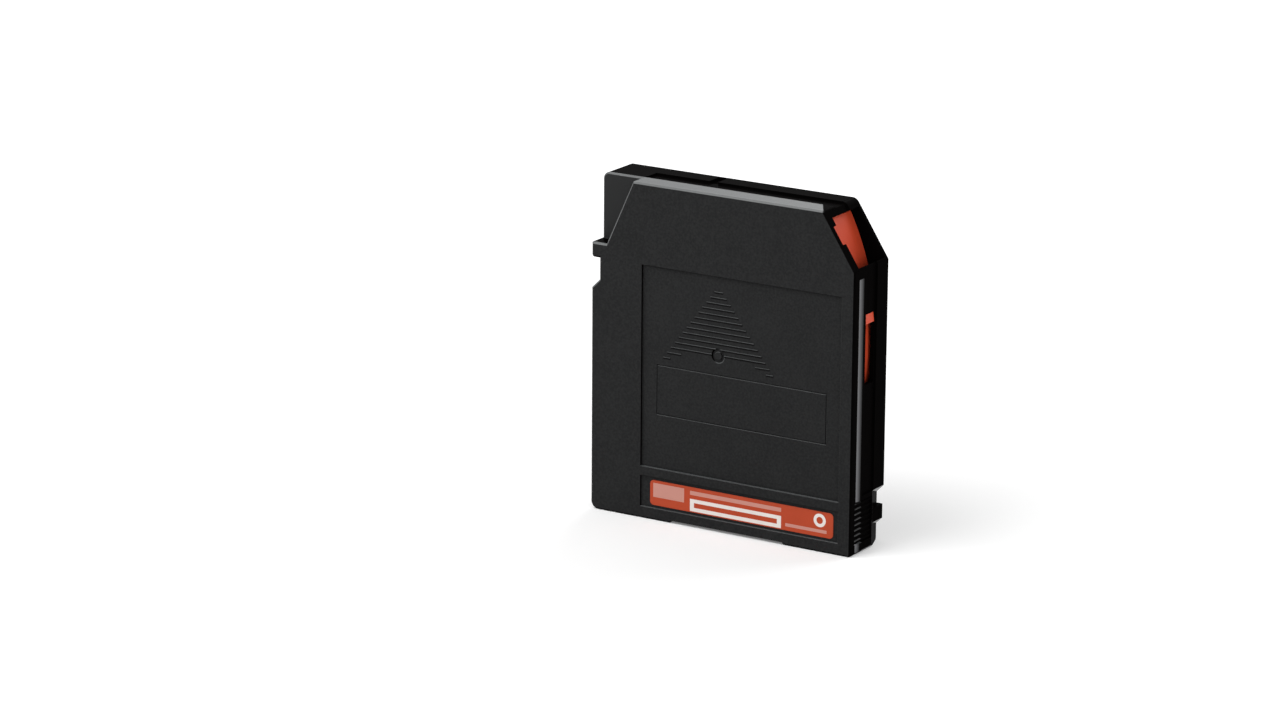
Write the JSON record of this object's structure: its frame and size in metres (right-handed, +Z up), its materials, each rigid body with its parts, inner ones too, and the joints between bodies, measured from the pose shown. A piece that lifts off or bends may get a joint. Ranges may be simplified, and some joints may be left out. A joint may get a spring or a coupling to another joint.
{
  "type": "data tape cartridge",
  "caption": "Flat square data tape cartridge: two-shell case with a cut corner and sprung arc door, one toothed reel, brake, leader pin and stepped loading corner.",
  "frame": {"origin": "middle of the rear (label) edge, on the plane of its two feet, at mid thickness", "axes": "+X along the rear edge towards the door side, +Y from the front shell to the rear shell with the reel's spindle opening, +Z up to the loading edge"},
  "size_m": [0.109, 0.0244, 0.125],
  "materials": {
    "front_case_black": "fine satin texture",
    "rear_case_black": "polished",
    "door_orange_red": "smooth moulded",
    "spring_steel": "drawn wire",
    "switch_grey": "moulded",
    "hub_ivory": "moulded",
    "flange_smoke": "moulded",
    "chuck_steel": "stamped",
    "tape_brown": "wound film",
    "brake_white": "moulded",
    "pad_grey": "moulded",
    "pin_steel": "turned",
    "clip_black": "moulded",
    "board_green": "coated laminate",
    "chip_black": "moulded",
    "screw_steel": "blackened",
    "label_orange_red": "printed film"
  },
  "bodies": {
    "case": {"upper_shell": "front_case_black", "lower_shell": "rear_case_black", "front_label": "label_orange_red", "case_screws": "screw_steel", "memory_board": "board_green", "memory_chip": "chip_black", "leader_pin": "pin_steel", "leader_clip": "clip_black", "leader_tape": "tape_brown", "pin_spring_front": "spring_steel", "pin_spring_rear": "spring_steel", "door_spring": "spring_steel"},
    "door": {"door": "door_orange_red"},
    "lift": {"brake_spring": "spring_steel"},
    "reel": {"reel_hub": "hub_ivory", "reel_front_flange": "flange_smoke", "chuck_plate": "chuck_steel", "tape_pack": "tape_brown"},
    "brake": {"brake_button": "brake_white"},
    "pad": {"release_pad": "pad_grey"},
    "switch": {"write_protect_switch": "switch_grey"}
  },
  "joints": [
    {"name": "door_swing", "type": "hinge", "parent": "case", "child": "door", "pos_m": [-0.0487, 0, 0.07393], "axis": [0, 1, 0], "range_deg": [0, 12.3], "stiffness_Nm_per_rad": 0.3, "springref_deg": -5.73, "deforming": ["door_spring"]},
    {"name": "reel_lift", "type": "slide", "parent": "case", "child": "lift", "axis": [0, -1, 0], "range_m": [0, 0.001], "stiffness_N_per_m": 800, "springref_m": -0.002, "deforming": ["brake_spring"]},
    {"name": "reel_spin", "type": "hinge", "parent": "lift", "child": "reel", "pos_m": [-0.0014, 0, 0.0656], "axis": [0, 1, 0], "continuous": true},
    {"name": "brake_lift", "type": "slide", "parent": "case", "child": "brake", "axis": [0, -1, 0], "range_m": [0, 0.002]},
    {"name": "pad_lift", "type": "slide", "parent": "reel", "child": "pad", "axis": [0, -1, 0], "range_m": [0, 0.001]},
    {"name": "write_protect_slide", "type": "slide", "parent": "case", "child": "switch", "axis": [1, 0, 0], "range_m": [0, 0.005]}
  ],
  "couplings": [
    {"joint": "brake_lift", "follows": "reel_lift", "ratio": 2},
    {"joint": "pad_lift", "follows": "reel_lift", "ratio": 1}
  ]
}
